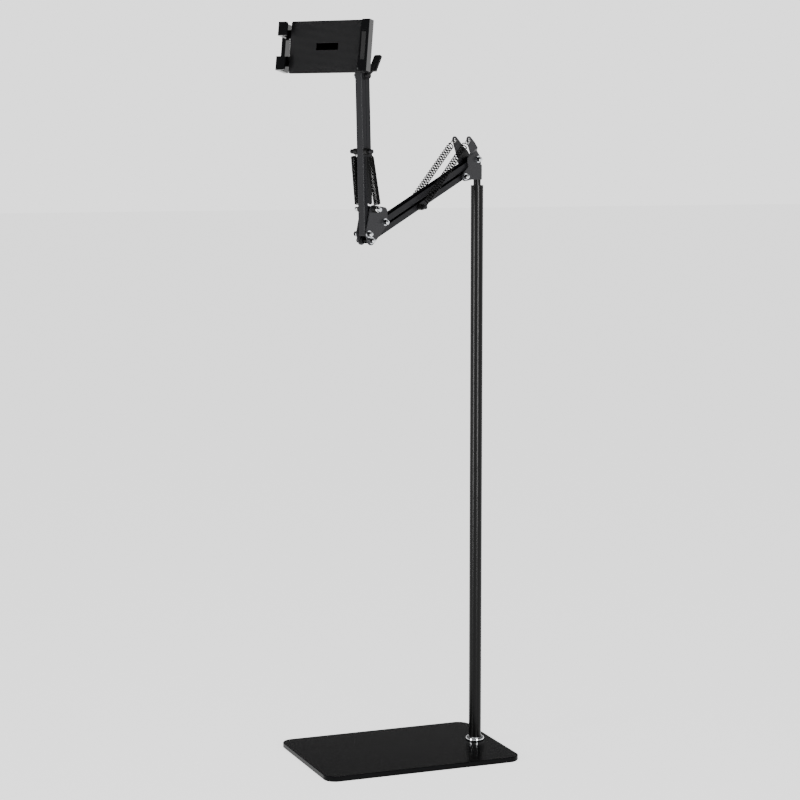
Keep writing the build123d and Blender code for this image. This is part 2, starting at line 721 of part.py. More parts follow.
yoke += hull_plate([(web[0] + 2, web[1], YOKE_WEB_R), neck_end], -YOKE_WEB_R, YOKE_WEB_R)
yoke += upright(SWIVEL_FORWARD, 0, boss_low, boss_top, BOSS_D)
yoke -= upright(SWIVEL_FORWARD, 0, boss_low - 1, boss_top + 1, SWIVEL_BORE_D + 2 * FIT_GAP)
yoke -= rod(T[0], T[1], -40, 40, TILT_BOLT_D)
keep("tilt_yoke", yoke)

# tilt bolt, with its round head on the far side
hub_low = cheek_out + 0.1
hub_high = hub_low + HUB_LENGTH
tilt_bolt = rod(T[0], T[1], -cheek_out, hub_high - 1, TILT_BOLT_D)
tilt_bolt += rod(T[0], T[1], -cheek_out - TILT_HEAD, -cheek_out, TILT_HEAD_D)
keep("tilt_bolt", tilt_bolt)


def bar_between(start, end, diameter):
    """A round bar from one point to another."""
    along = end - start
    return Plane(origin=(start + end) * 0.5, z_dir=along).location * Cylinder(diameter / 2, along.length)


# lock lever: a bent steel shank with a thicker end, and the flat blade moulded on it
blade_mid = hub_low + BLADE_WIDTH / 2 + 0.8
shank = Location((0, (hub_low + hub_high) / 2, 0), (90, 0, 0)) * Cylinder(HUB_D / 2, HUB_LENGTH)
bend = Vector(9.0, blade_mid, 0)
core = bar_between(Vector(0, hub_high - SHANK_D / 2, 0), bend, SHANK_D)
core += Location(bend) * Sphere(SHANK_D / 2)
core += bar_between(bend, bend + Vector(BARREL_LENGTH, 0, 0), BARREL_D)
shank += core
shank = on_bar(T, LEVER_ANGLE) * shank
shank -= rod(T[0], T[1], hub_low - 1, hub_high - 0.9, TILT_BOLT_D + 2 * FIT_GAP)
keep("lever_shank", shank)
blade_length = LEVER_LENGTH - BLADE_FROM
blade = Box(blade_length, BLADE_WIDTH, BLADE_THICK)
blade = fillet(blade.edges().filter_by(Axis.Z).sort_by(Axis.X)[-2:], 3.0)
blade = Location((BLADE_FROM + blade_length / 2, blade_mid, 0.8)) * blade
keep("lever_blade", on_bar(T, LEVER_ANGLE) * (blade - core))

# holder frame: x along the holder to its fixed jaw, y up it, z out of its front
turn = math.radians(HOLDER_TURN)
tilt = math.radians(HOLDER_TILT)
facing = Vector(math.cos(tilt) * math.cos(turn), math.cos(tilt) * math.sin(turn), math.sin(tilt))
sideways = Vector(-math.sin(turn), math.cos(turn), 0)
ball_back = PANEL_THICK + SHELL_DEPTH + BALL_FROM_SHELL
knuckle = Vector(SWIVEL_FORWARD, 0, HOLDER_Z - (ball_back + BALL_FROM_SWIVEL) * math.sin(tilt))
ball_at = knuckle + facing * BALL_FROM_SWIVEL
front = ball_at + facing * ball_back
HOLDER = Plane(origin=front, x_dir=sideways, z_dir=facing).location


def keep_holder(name, shape):
    """Names one sub-part that is drawn in the holder's frame."""
    keep(name, HOLDER * shape)


# swivel stub: a post in the yoke's boss with a round knuckle, held by a clip below the boss
stub = upright(SWIVEL_FORWARD, 0, boss_low - 3.4, boss_top + 0.2, SWIVEL_BORE_D)
stub += upright(SWIVEL_FORWARD, 0, boss_top + 0.2, knuckle.Z, KNUCKLE_D - 1.6)
stub += Location(knuckle) * Sphere(KNUCKLE_D / 2)
stub_front = -ball_back - BALL_FROM_SWIVEL + KNUCKLE_FLAT
stub -= HOLDER * (Location((0, 0, stub_front + 10)) * Cylinder(KNUCKLE_D, 20))
stub -= HOLDER * (Location((0, 0, stub_front)) * Cylinder(STUD_D / 2 + FIT_GAP, 2 * STUD_DEEP + 0.4))
keep("swivel_stub", stub)
clip = upright(SWIVEL_FORWARD, 0, boss_low - 1.6, boss_low - 0.2, 13.0)
clip -= upright(SWIVEL_FORWARD, 0, boss_low - 3, boss_low, SWIVEL_BORE_D)
keep("swivel_clip", clip)

# ball stud, screwed into the knuckle
stud = Location((0, 0, -ball_back)) * Sphere(BALL_D / 2)
neck_from = stub_front + 0.1
stud += Location((0, 0, (neck_from - ball_back) / 2)) * Cylinder(BALL_NECK_D / 2, -ball_back - neck_from)
stud += Location((0, 0, neck_from - STUD_DEEP / 2)) * Cylinder(STUD_D / 2, STUD_DEEP)
keep("ball_stud", HOLDER * stud)

# holder shell, open to the front and closed by the panel
back = -PANEL_THICK - SHELL_DEPTH


def block_between(x0, x1, y0, y1, z0, z1):
    """A box between two values on each axis."""
    return Location(((x0 + x1) / 2, (y0 + y1) / 2, (z0 + z1) / 2)) * Box(
        abs(x1 - x0), abs(y1 - y0), abs(z1 - z0)
    )


def drill(x, y, z0, z1, diameter):
    """A round bar square to the panel."""
    return Location((x, y, (z0 + z1) / 2)) * Cylinder(diameter / 2, abs(z1 - z0))


shell = block_between(-SHELL_WIDTH / 2, SHELL_WIDTH / 2, -SHELL_HEIGHT / 2, SHELL_HEIGHT / 2, back, -PANEL_THICK)
shell = fillet(shell.edges().filter_by(Axis.Z), PANEL_CORNER)
shell = fillet(shell.faces().sort_by(Axis.Z)[0].edges(), 2.0)
inner_w = SHELL_WIDTH / 2 - SHELL_WALL
inner_h = SHELL_HEIGHT / 2 - SHELL_WALL
shell -= block_between(-inner_w, inner_w, -inner_h, inner_h, back + SHELL_WALL, 0)
tongue_z = -PANEL_THICK - 5.0
half = TONGUE_THICK / 2
side = TONGUE_WIDTH / 2
screw_x = SHELL_WIDTH / 2 - SCREW_INSET
screw_y = SHELL_HEIGHT / 2 - SCREW_INSET
screws = [(x, y) for x in (-screw_x, screw_x) for y in (-screw_y, screw_y)]
for x, y in screws:
    shell += drill(x, y, back + 1, -PANEL_THICK, 9.4)
for y in (-TONGUE_APART / 2, TONGUE_APART / 2):
    rib = side + 1.5
    shell += block_between(GUIDE_FROM, GUIDE_TO, y - rib, y + rib, back + 1, -PANEL_THICK)
    slot = side + TONGUE_GAP
    low = tongue_z - half - TONGUE_GAP
    shell -= block_between(-SHELL_WIDTH, GUIDE_TO + 1, y - slot, y + slot, low, low + 2 * (half + TONGUE_GAP))
    shell += drill(ANCHOR_X + ANCHOR_D / 2, y, back + 1, -PANEL_THICK - 1, ANCHOR_D)
for x, y in screws:
    shell -= drill(x, y, back - 1, 1, 3.2)
    shell -= drill(x, y, back - 1, back + 2, 6.2)
keep_holder("holder_shell", shell)

# front panel with its bare recess
panel = block_between(
    -PANEL_WIDTH / 2, PANEL_WIDTH / 2, -PANEL_HEIGHT / 2, PANEL_HEIGHT / 2, -PANEL_THICK, 0
)
panel = fillet(panel.edges().filter_by(Axis.Z), PANEL_CORNER)
panel = chamfer(panel.faces().sort_by(Axis.Z)[-1].edges(), 0.7)
panel -= block_between(
    -RECESS_WIDTH / 2, RECESS_WIDTH / 2, -RECESS_HEIGHT / 2, RECESS_HEIGHT / 2, -RECESS_DEPTH, 1
)
for x, y in screws:
    panel -= drill(x, y, -PANEL_THICK - 1, -0.8, 3.0)
keep_holder("holder_panel", panel)

screw_set = []
for x, y in screws:
    screw_set.append(drill(x, y, back + 0.4, back + 2, 6.0) + drill(x, y, back + 2, -0.9, 3.0))
keep_holder("panel_screws", Compound(screw_set))


def hooks(wall_in, wall_out, low, foot, top, height, width, reach, thick):
    """The two hooks of a jaw, one over each end of the space for the phone."""
    sign = 1 if wall_out > 0 else -1
    pair = []
    for y0, y1 in ((foot, foot + height), (top - height, top)):
        post = block_between(wall_in, wall_out, y0, y1, low, reach)
        tip = block_between(wall_out - sign * width, wall_out, y0, y1, reach - thick, reach)
        tip = fillet(tip.edges().filter_by(Axis.Z).sort_by(Axis.X)[:: -sign][-2:], HOOK_CORNER)
        pair.append(post + tip)
    return pair


# fixed jaw on the right: a wall with two hooks, a lip with a sloped edge on the panel, a foot behind it
fixed_in = FIXED_OUTER - FIXED_WALL
fixed_top = FIXED_HEIGHT / 2 - FIXED_DROP
fixed_foot = -FIXED_HEIGHT / 2 - FIXED_DROP
fixed = block_between(fixed_in, FIXED_OUTER, fixed_foot, fixed_top, FIXED_LOW, FIXED_REACH)
for hook in hooks(
    fixed_in,
    FIXED_OUTER,
    FIXED_LOW,
    fixed_foot,
    fixed_top,
    FIXED_HOOK_HEIGHT,
    FIXED_HOOK,
    FIXED_REACH,
    FIXED_TIP,
):
    fixed += hook
lip_outline = make_face(
    Polyline(
        (LIP_FROM, LIP_HEIGHT / 2),
        (LIP_FROM - LIP_FLARE, -LIP_HEIGHT / 2),
        (fixed_in, -LIP_HEIGHT / 2),
        (fixed_in, LIP_HEIGHT / 2),
        close=True,
    )
)
lip = extrude(lip_outline, amount=LIP_THICK)
lip = fillet(lip.edges().filter_by(Axis.Z).sort_by(Axis.X)[0], LIP_CORNER)
lip_face = lip.faces().sort_by(Axis.Z)[-1]
lip = chamfer(lip_face.edges().sort_by(Axis.X)[0:2], LIP_THICK - 0.1, LIP_SLOPE)
fixed += lip
fixed += block_between(PANEL_WIDTH / 2, fixed_in, -LIP_HEIGHT / 2, LIP_HEIGHT / 2, -PANEL_THICK, 0)
foot_in = SHELL_WIDTH / 2
foot_out = foot_in + FIXED_FOOT_WIDTH
fixed += block_between(foot_in, foot_out, -SHELL_HEIGHT / 2, SHELL_HEIGHT / 2, back + 1, -PANEL_THICK)
keep_holder("fixed_jaw", fixed)
strip_foot = fixed_foot + FIXED_HOOK_HEIGHT
strip_top = fixed_top - FIXED_HOOK_HEIGHT
strip = block_between(
    LIP_FROM + LIP_SLOPE + 1, fixed_in, strip_foot, strip_top, LIP_THICK, LIP_THICK + STRIP_THICK
)
keep_holder("fixed_jaw_pad", strip)

# sliding jaw on the left, with two flat tongues into the shell and a pad inside each hook
sliding_in = SLIDING_WALL - SLIDING_OUTER
sliding_top = SLIDING_HEIGHT / 2
sliding_low = back - 1
sliding = block_between(sliding_in, -SLIDING_OUTER, -sliding_top, sliding_top, sliding_low, SLIDING_FRONT)
for hook in hooks(
    sliding_in,
    -SLIDING_OUTER,
    sliding_low,
    -sliding_top,
    sliding_top,
    SLIDING_HOOK_HEIGHT,
    SLIDING_HOOK,
    SLIDING_REACH,
    SLIDING_TIP,
):
    outer = hook.edges().filter_by(Axis.Y).group_by(Axis.X)[0].sort_by(Axis.Z)[-1]
    sliding += fillet(outer, SLIDING_ROUND)
tongue_end = sliding_in + TONGUE_LENGTH
for y in (-TONGUE_APART / 2, TONGUE_APART / 2):
    sliding += block_between(sliding_in, tongue_end, y - side, y + side, tongue_z - half, tongue_z + half)
keep_holder("sliding_jaw", sliding)
pad_top = SLIDING_REACH - SLIDING_TIP
sliding_pads = [
    block_between(sliding_in, sliding_in + PAD_FACE, y0 + 1, y0 + SLIDING_HOOK_HEIGHT - 1, 0, pad_top)
    for y0 in (-sliding_top, sliding_top - SLIDING_HOOK_HEIGHT)
]
keep_holder("sliding_jaw_pad", Compound(sliding_pads))
jaw_springs = []
for y in (-TONGUE_APART / 2, TONGUE_APART / 2):
    coil = Location(((tongue_end + ANCHOR_X) / 2, y, tongue_z)) * (
        Rot(0, 90, 0)
        * (
            Cylinder(JAW_SPRING_D / 2, ANCHOR_X - tongue_end)
            - Cylinder(JAW_SPRING_BORE / 2, ANCHOR_X - tongue_end + 2)
        )
    )
    jaw_springs.append(coil)
keep_holder("jaw_springs", Compound(jaw_springs))

# ball socket on the back of the shell, its screws and its ring nut
ball_z = -ball_back
mouth = ball_z - MOUTH_BACK
socket = drill(0, 0, back, back - SOCKET_FLANGE, SOCKET_D)
socket += drill(0, 0, back - SOCKET_FLANGE, mouth, RING_BORE - 2 * FIT_GAP)
socket -= Location((0, 0, ball_z)) * Sphere(BALL_D / 2 + BALL_GAP)
socket -= Location((0, 0, ball_z - 6)) * Cone(BALL_D / 2 + 2, BALL_D / 2 - 2.6, 8)
socket_screws = [(SOCKET_SCREW * cx, SOCKET_SCREW * cy) for cx in (-1, 1) for cy in (-1, 1)]
for x, y in socket_screws:
    socket -= drill(x, y, back - 4, back + 1, 2.6)
keep_holder("ball_socket", socket)
socket_set = []
for x, y in socket_screws:
    head = drill(x, y, back - SOCKET_FLANGE - 1.2, back - SOCKET_FLANGE, 4.4)
    socket_set.append(head + drill(x, y, back - SOCKET_FLANGE, back, 2.6))
keep_holder("socket_screws", Compound(socket_set))
ring_from = back - SOCKET_FLANGE - 1.6
ring_to = mouth - RING_LIP
ring = drill(0, 0, ring_from, ring_to, RING_D)
ring = chamfer(ring.edges().filter_by(GeomType.CIRCLE).sort_by(Axis.Z)[0], RING_LIP)
ring -= drill(0, 0, ring_from + 1, mouth - 0.1, RING_BORE)
ring -= drill(0, 0, ring_from, ring_to - 1, RING_MOUTH)
for i in range(RING_GRIPS):
    turned = Location((0, 0, 0), (0, 0, 360 * i / RING_GRIPS))
    ring -= turned * drill(RING_D / 2 + 0.7, 0, ring_from + 1, ring_to - 1, 3.4)
keep_holder("ring_nut", ring)

for name in parts:
    print(name, len(parts[name].solids()), round(parts[name].volume, 1))
print("posts", {k: [round(c, 2) for c in v] for k, v in
      {"S1": S1, "S2": S2, "B": B, "D": D, "C": C, "T": T, "POST": POST}.items()})
print("ball", ball_at, "knuckle", knuckle, "facing", facing, "front", front, "side", sideways)

os.makedirs("parts", exist_ok=True)
for name, shape in parts.items():
    export_step(shape, "parts/" + name + ".step")
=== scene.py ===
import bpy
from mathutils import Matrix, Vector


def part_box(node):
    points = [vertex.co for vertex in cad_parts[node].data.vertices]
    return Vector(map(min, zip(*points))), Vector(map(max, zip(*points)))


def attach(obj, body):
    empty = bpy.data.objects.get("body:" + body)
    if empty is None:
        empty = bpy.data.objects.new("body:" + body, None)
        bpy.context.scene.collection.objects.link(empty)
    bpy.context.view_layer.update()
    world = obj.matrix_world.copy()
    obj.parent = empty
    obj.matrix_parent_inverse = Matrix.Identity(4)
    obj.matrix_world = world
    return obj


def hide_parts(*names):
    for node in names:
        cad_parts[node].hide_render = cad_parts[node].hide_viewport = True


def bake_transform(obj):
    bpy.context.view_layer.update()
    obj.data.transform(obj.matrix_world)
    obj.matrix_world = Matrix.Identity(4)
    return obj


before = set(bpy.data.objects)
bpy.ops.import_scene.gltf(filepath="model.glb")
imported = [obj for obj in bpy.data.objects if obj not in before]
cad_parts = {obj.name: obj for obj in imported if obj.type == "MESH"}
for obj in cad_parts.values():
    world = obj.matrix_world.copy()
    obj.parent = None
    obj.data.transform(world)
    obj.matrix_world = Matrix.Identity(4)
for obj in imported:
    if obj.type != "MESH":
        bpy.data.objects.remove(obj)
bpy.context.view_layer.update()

import math
import bpy
import mathutils
import numpy as np

# The base: an 8 mm steel plate with its corners rounded and its top edge broken, coated black, on a thin
# black foam pad. A flanged bolt comes up through both of them into the foot of the pole.


def linear(colour):
    """An sRGB hex colour as linear RGBA: a channel c becomes ((c + 0.055) / 1.055) ** 2.4, or c / 12.92
    where it is dark."""
    c = np.array([int(colour[i : i + 2], 16) for i in (1, 3, 5)]) / 255
    c = np.where(c <= 0.04045, c / 12.92, ((c + 0.055) / 1.055) ** 2.4)
    return (*c.tolist(), 1.0)


def add(tree, kind, settings, links):
    """Adds a node to a material: settings go to its inputs or its properties, and links are sockets that
    feed its inputs."""
    made = tree.nodes.new(kind)
    for key, value in settings.items():
        if isinstance(key, int) or key in made.inputs:
            made.inputs[key].default_value = value
        else:
            setattr(made, key, value)
    for key, socket in links.items():
        tree.links.new(socket, made.inputs[key])
    return made


def finish(name, colour, **settings):
    """A new material with its Principled shader's own sockets set, its tree and that shader."""
    material = bpy.data.materials.new(name)
    material.use_nodes = True
    shader = material.node_tree.nodes["Principled BSDF"]
    shader.inputs["Base Color"].default_value = linear(colour)
    for key, value in settings.items():
        shader.inputs[key.replace("_", " ")].default_value = value
    return material, material.node_tree, shader


def grained(tree, shader, size_mm, height_mm, rough_from, rough_to):
    """Fine grain of about size_mm: one noise gives a bump of height_mm and the spread of roughness."""
    place = add(tree, "ShaderNodeTexCoord", {}, {})
    noise = add(
        tree,
        "ShaderNodeTexNoise",
        {"Scale": 1000 / size_mm, "Detail": 3.0, "Roughness": 0.6},
        {"Vector": place.outputs["Object"]},
    )
    rough = add(
        tree,
        "ShaderNodeMapRange",
        {"To Min": rough_from, "To Max": rough_to},
        {"Value": noise.outputs["Fac"]},
    )
    tree.links.new(rough.outputs["Result"], shader.inputs["Roughness"])
    bump = add(
        tree,
        "ShaderNodeBump",
        {"Strength": 0.4, "Distance": height_mm / 1000},
        {"Height": noise.outputs["Fac"]},
    )
    tree.links.new(bump.outputs["Normal"], shader.inputs["Normal"])


def dress(material, *names):
    """Gives CAD nodes their finish."""
    for name in names:
        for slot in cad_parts[name].material_slots:
            slot.material = material


# polyester powder coat on steel plate: a smooth semi-gloss black with a faint orange peel
plate_coat, tree, shader = finish("semigloss_powder_coat", "#070708", Specular_IOR_Level=0.04)
grained(tree, shader, size_mm=2.4, height_mm=0.01, rough_from=0.22, rough_to=0.3)
dress(plate_coat, "base_plate")

# closed-cell foam: matt and dark, with fine pores
foam, tree, shader = finish("closed_cell_foam", "#0e0e0e", Specular_IOR_Level=0.2)
grained(tree, shader, size_mm=0.8, height_mm=0.1, rough_from=0.75, rough_to=0.95)
dress(foam, "base_pad")

# bright zinc plate on steel: pale, slightly blue metal with soft gloss
zinc, tree, shader = finish("bright_zinc_plate", "#c9ccd0", Metallic=1.0)
grained(tree, shader, size_mm=1.2, height_mm=0.01, rough_from=0.18, rough_to=0.3)
dress(zinc, "base_bolt")

# The pole: two 22 mm steel tubes, end to end over a joiner, lacquered gloss black, standing in a turned
# chromed collar on a plug that the base's bolt screws into. A bush closes the top round the swivel pin.
POLE_FOOT = np.array([0.1453, 0.0, 0.0])
TUBE_RADIUS = 0.011
TUBE_WALL = 0.0015
RIM_EDGE = 0.0002
RIM_POINTS = 5
ROUND_SIDES = 96
BASE_TOP = 0.0095
SEAM = 0.501
SEAM_GAP = 0.0001
TUBE_TOP = 0.9931


def laid(name, grid, material, nodes, close_rows, body=None):
    """A mesh from a grid of points, rows by columns, each row closed on itself. With close_rows the last row
    joins the first, and otherwise a flat face closes each end. It rides on a body where one is given."""
    rows, columns = grid.shape[:2]
    index = np.arange(rows * columns).reshape(rows, columns)
    along = np.vstack([index, index[:1]]) if close_rows else index
    here = along[:-1]
    after = along[1:]
    quads = np.stack([here, np.roll(here, -1, 1), np.roll(after, -1, 1), after], -1).reshape(-1, 4)
    ends = [] if close_rows else [index[0][::-1].tolist(), index[-1].tolist()]
    mesh = bpy.data.meshes.new(name)
    mesh.from_pydata(grid.reshape(-1, 3).tolist(), [], quads.tolist() + ends)
    mesh.polygons.foreach_set("use_smooth", np.ones(len(mesh.polygons), bool))
    mesh.materials.append(material)
    piece = bpy.data.objects.new(name, mesh)
    bpy.context.collection.objects.link(piece)
    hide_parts(*nodes)
    if body:
        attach(piece, body)
    return piece


def turned(profile):
    """A surface of revolution about the pole: each (r, z) of a closed profile becomes the ring
    (r cos t, r sin t, z), with t once round."""
    r, z = np.array(profile).T
    t = np.linspace(0, 2 * math.pi, ROUND_SIDES, endpoint=False)
    grid = np.empty((len(r), ROUND_SIDES, 3))
    grid[..., 0] = POLE_FOOT[0] + r[:, None] * np.cos(t)
    grid[..., 1] = POLE_FOOT[1] + r[:, None] * np.sin(t)
    grid[..., 2] = z[:, None]
    return grid


def rolled(radius, z0, z1):
    """A tube's profile, up its outside and down its inside, with each rim a quarter circle of radius
    RIM_EDGE. A second point a little way in from each rim keeps the long walls shaded straight."""
    edge = RIM_EDGE
    bore = radius - TUBE_WALL
    t = np.linspace(0, math.pi / 2, RIM_POINTS)
    outer_top = np.stack([radius - edge + edge * np.cos(t), z1 - edge + edge * np.sin(t)], 1)
    inner_top = np.stack([bore + edge - edge * np.sin(t), z1 - edge + edge * np.cos(t)], 1)
    inner_low = np.stack([bore + edge - edge * np.cos(t), z0 + edge - edge * np.sin(t)], 1)
    outer_low = np.stack([radius - edge + edge * np.sin(t), z0 + edge - edge * np.cos(t)], 1)
    low = z0 + 3 * edge
    high = z1 - 3 * edge
    outer = [[radius, low], [radius, high]]
    inner = [[bore, high], [bore, low]]
    return np.vstack([outer_low, outer, outer_top, inner_top, inner, inner_low])


# gloss lacquer over steel tube: black, with long highlights that waver a little down the tube
lacquer, tree, shader = finish("gloss_black_lacquer", "#050505", Specular_IOR_Level=0.12)
grained(tree, shader, size_mm=40.0, height_mm=0.01, rough_from=0.22, rough_to=0.28)
for name, low, high, node in (
    ("pole_lower_tube", BASE_TOP, SEAM, "lower_tube"),
    ("pole_upper_tube", SEAM + SEAM_GAP, TUBE_TOP, "upper_tube"),
):
    tube = turned(rolled(TUBE_RADIUS, low, high))
    laid(name, tube, lacquer, [node], close_rows=True, body="stand")
dress(lacquer, "top_bush", "swivel_pin")

# chrome plate: an all but perfect mirror. The collar's upper edge is a quarter of an ellipse.
chrome, tree, shader = finish("chrome_plate", "#d9dbdd", Metallic=1.0)
grained(tree, shader, size_mm=8.0, height_mm=0.005, rough_from=0.04, rough_to=0.09)
COLLAR_BORE = 0.01105
COLLAR_RADIUS = 0.0165
COLLAR_HEIGHT = 0.008
COLLAR_EDGE = 0.0002
COLLAR_ROUND_OUT = 0.004
COLLAR_ROUND_UP = 0.0052
COLLAR_ROUND_POINTS = 12
t = np.linspace(0, math.pi / 2, COLLAR_ROUND_POINTS)
rounding = np.stack(
    [
        COLLAR_RADIUS - COLLAR_ROUND_OUT + COLLAR_ROUND_OUT * np.cos(t),
        BASE_TOP + COLLAR_HEIGHT - COLLAR_ROUND_UP + COLLAR_ROUND_UP * np.sin(t),
    ],
    1,
)
collar = np.vstack(
    [
        [COLLAR_BORE, BASE_TOP],
        [COLLAR_RADIUS - COLLAR_EDGE, BASE_TOP],
        [COLLAR_RADIUS, BASE_TOP + COLLAR_EDGE],
        rounding,
        [COLLAR_BORE, BASE_TOP + COLLAR_HEIGHT],
    ]
)
laid(
    "foot_collar_turned",
    turned(collar),
    chrome,
    ["foot_collar"],
    close_rows=True,
    body="stand",
)

# turned steel, left bare: grey, with fine rings from the tool
bare_steel, tree, shader = finish("turned_steel", "#8e9092", Metallic=1.0)
grained(tree, shader, size_mm=0.6, height_mm=0.01, rough_from=0.22, rough_to=0.38)
dress(bare_steel, "foot_plug", "tube_joiner")

# The shoulder: a steel block on the swivel pin between two folded side plates, whose ears step outwards to
# hold the springs. Bolts with washers and lock nuts are the arm's pivots.
ARM_TURN = math.radians(204.43)
FORWARD = np.array([math.cos(ARM_TURN), math.sin(ARM_TURN), 0.0])
NEAR = np.array([-math.sin(ARM_TURN), math.cos(ARM_TURN), 0.0])
UP = np.array([0.0, 0.0, 1.0])
THREAD_FROM = 0.0112
CROWN_FROM = 0.0181

# satin powder coat on the plates: dark grey, a little paler than the channels
plate_satin, tree, shader = finish("satin_grey_powder_coat", "#1f1f21", Specular_IOR_Level=0.2)
grained(tree, shader, size_mm=1.0, height_mm=0.02, rough_from=0.32, rough_to=0.45)
dress(plate_satin, "shoulder_block", "shoulder_plate_near", "shoulder_plate_far")
dress(zinc, "shoulder_washers")


def distance_along(tree, direction, point):
    """The signed distance (p - point) . direction of each shaded point p, in metres."""
    place = add(tree, "ShaderNodeTexCoord", {}, {})
    offset = add(
        tree,
        "ShaderNodeVectorMath",
        {"operation": "SUBTRACT", 1: tuple(point)},
        {0: place.outputs["Object"]},
    )
    dot = add(
        tree,
        "ShaderNodeVectorMath",
        {"operation": "DOT_PRODUCT", 1: tuple(direction)},
        {0: offset.outputs[0]},
    )
    return dot.outputs["Value"]


def beyond(tree, direction, point, distance):
    """A mask: 1 where the distance along a direction from a point is over the one given, and else 0."""
    along = distance_along(tree, direction, point)
    over = add(tree, "ShaderNodeMath", {"operation": "GREATER_THAN", 1: distance}, {0: along})
    return over.outputs[0]


def two_colours(tree, shader, mask, low, high):
    """Mixes the shader's colour from low where the mask is 0 to high where it is 1."""
    mixed = add(
        tree, "ShaderNodeMix", {"data_type": "RGBA", 6: linear(low), 7: linear(high)}, {0: mask}
    )
    tree.links.new(mixed.outputs[2], shader.inputs["Base Color"])


# pivot bolt: zinc-plated steel with painted shade, dark up to THREAD_FROM out from the arm's middle plane,
# so between the plates and on the far side, and bright zinc at the end of the thread from the near plate
# outwards
pivot_bolt, tree, shader = finish("zinc_bolt_painted_shade_between_plates", "#c9ccd0", Metallic=1.0)
grained(tree, shader, size_mm=1.2, height_mm=0.01, rough_from=0.18, rough_to=0.3)
# painted shade: the bolt is coloured dark (#151515) where it lies between the plates and beyond them on the
# far side
two_colours(tree, shader, beyond(tree, NEAR, POLE_FOOT, THREAD_FROM), "#151515", "#c9ccd0")
dress(pivot_bolt, "shoulder_bolts")

# lock nut: zinc, with painted shade on its lower flats and a painted highlight on its crown, which is paler
# than plain zinc and starts at a distance from the arm's middle plane
lock_nut, tree, shader = finish("zinc_lock_nut_painted_shade_and_highlight", "#c9ccd0", Metallic=1.0)
grained(tree, shader, size_mm=1.2, height_mm=0.01, rough_from=0.12, rough_to=0.25)
# painted shade (#2a2a2b) on the flats near the plates and painted highlight (#e6e8ea) on the crown
two_colours(tree, shader, beyond(tree, NEAR, POLE_FOOT, CROWN_FROM), "#2a2a2b", "#e6e8ea")
dress(lock_nut, "shoulder_nuts")

# moulded nylon: matt black sleeves between the plates and the channels
nylon, tree, shader = finish("moulded_nylon", "#0b0b0b", Specular_IOR_Level=0.15)
grained(tree, shader, size_mm=0.8, height_mm=0.02, rough_from=0.45, rough_to=0.6)
dress(nylon, "shoulder_spacers")

# The lower arm: two channels folded from thin steel sheet, one over the other, which make a parallelogram
# with the plates at their ends. A pin across the bottom one, with sleeves and end knobs, carries the lower
# ends of the lower springs.

# satin powder coat on the channels: charcoal, with a soft even sheen
arm_coat, tree, shader = finish("satin_charcoal_powder_coat", "#171719", Specular_IOR_Level=0.12)
grained(tree, shader, size_mm=0.9, height_mm=0.02, rough_from=0.3, rough_to=0.42)
dress(arm_coat, "lower_bottom_channel", "lower_top_channel")
dress(arm_coat, "lower_spring_pin", "lower_spring_pin_knobs")
dress(nylon, "lower_spring_pin_sleeves")

# The elbow: two flat side plates, coated as the shoulder's are, with three pivot bolts through them and a
# plated post that carries the lower ends of the upper springs.
dress(plate_satin, "elbow_plate_near", "elbow_plate_far")
dress(pivot_bolt, "elbow_bolts")
dress(lock_nut, "elbow_nuts")
dress(zinc, "elbow_washers", "spring_post", "spring_post_knobs")
dress(nylon, "elbow_spacers", "spring_post_sleeves", "spring_post_spacer")

# The upper arm: a pair of folded steel channels, side by side, coated as the lower ones are, and joined at
# the top by a moulded block. A pin across the front one carries the upper ends of the upper springs.
dress(arm_coat, "upper_front_channel", "upper_rear_channel")
dress(arm_coat, "upper_spring_pin", "upper_spring_pin_knobs")
dress(nylon, "upper_spring_pin_sleeves", "tip_block")

# The springs: four long tension springs of 2 mm wire, blackened, with bare hooks at the shoulder's ears and
# at the elbow's post. The lower pair is pulled well open, and the upper pair is nearly closed.
WIRE = 0.001
WIRE_SIDES = 10
COIL = 0.0052
CURL_POINTS = 20
OPENING_CURLS = 0.35
RUN_POINTS = 3
PIN_HOOK = 0.00375
PIN_HOOK_SWEEP = math.radians(235)
PIN_HOOK_POINTS = 26
EAR_HOOK = 0.0042
EAR_HOOK_SWEEP = math.radians(225)
EAR_HOOK_POINTS = 30


def in_arm(x, y, z):
    """A point of the arm's own frame, in millimetres, as a place in the model: the pole's foot plus x
    forwards, y to the near side and z up."""
    return POLE_FOOT + (x * FORWARD + y * NEAR + z * UP) / 1000


def mirrored(p, through):
    """Points or directions p mirrored in the plane square to NEAR: p - 2 ((p - through) . NEAR) NEAR."""
    return p - 2 * ((p - through) @ NEAR)[..., None] * NEAR


def hook(middle, radius, outward, along, first, last, count):
    """An arc of wire about a middle, t from first to last: the directions cos t * outward + sin t * along,
    and the points that lie a radius out in them."""
    t = np.linspace(first, last, count)[:, None]
    square = np.cos(t) * outward + np.sin(t) * along
    return middle + square * radius, square


def straight(start, end):
    """The points that divide the line from start to end evenly, without its ends."""
    t = np.linspace(0.0, 1.0, RUN_POINTS + 2)[1:-1, None]
    return start + (end - start) * t


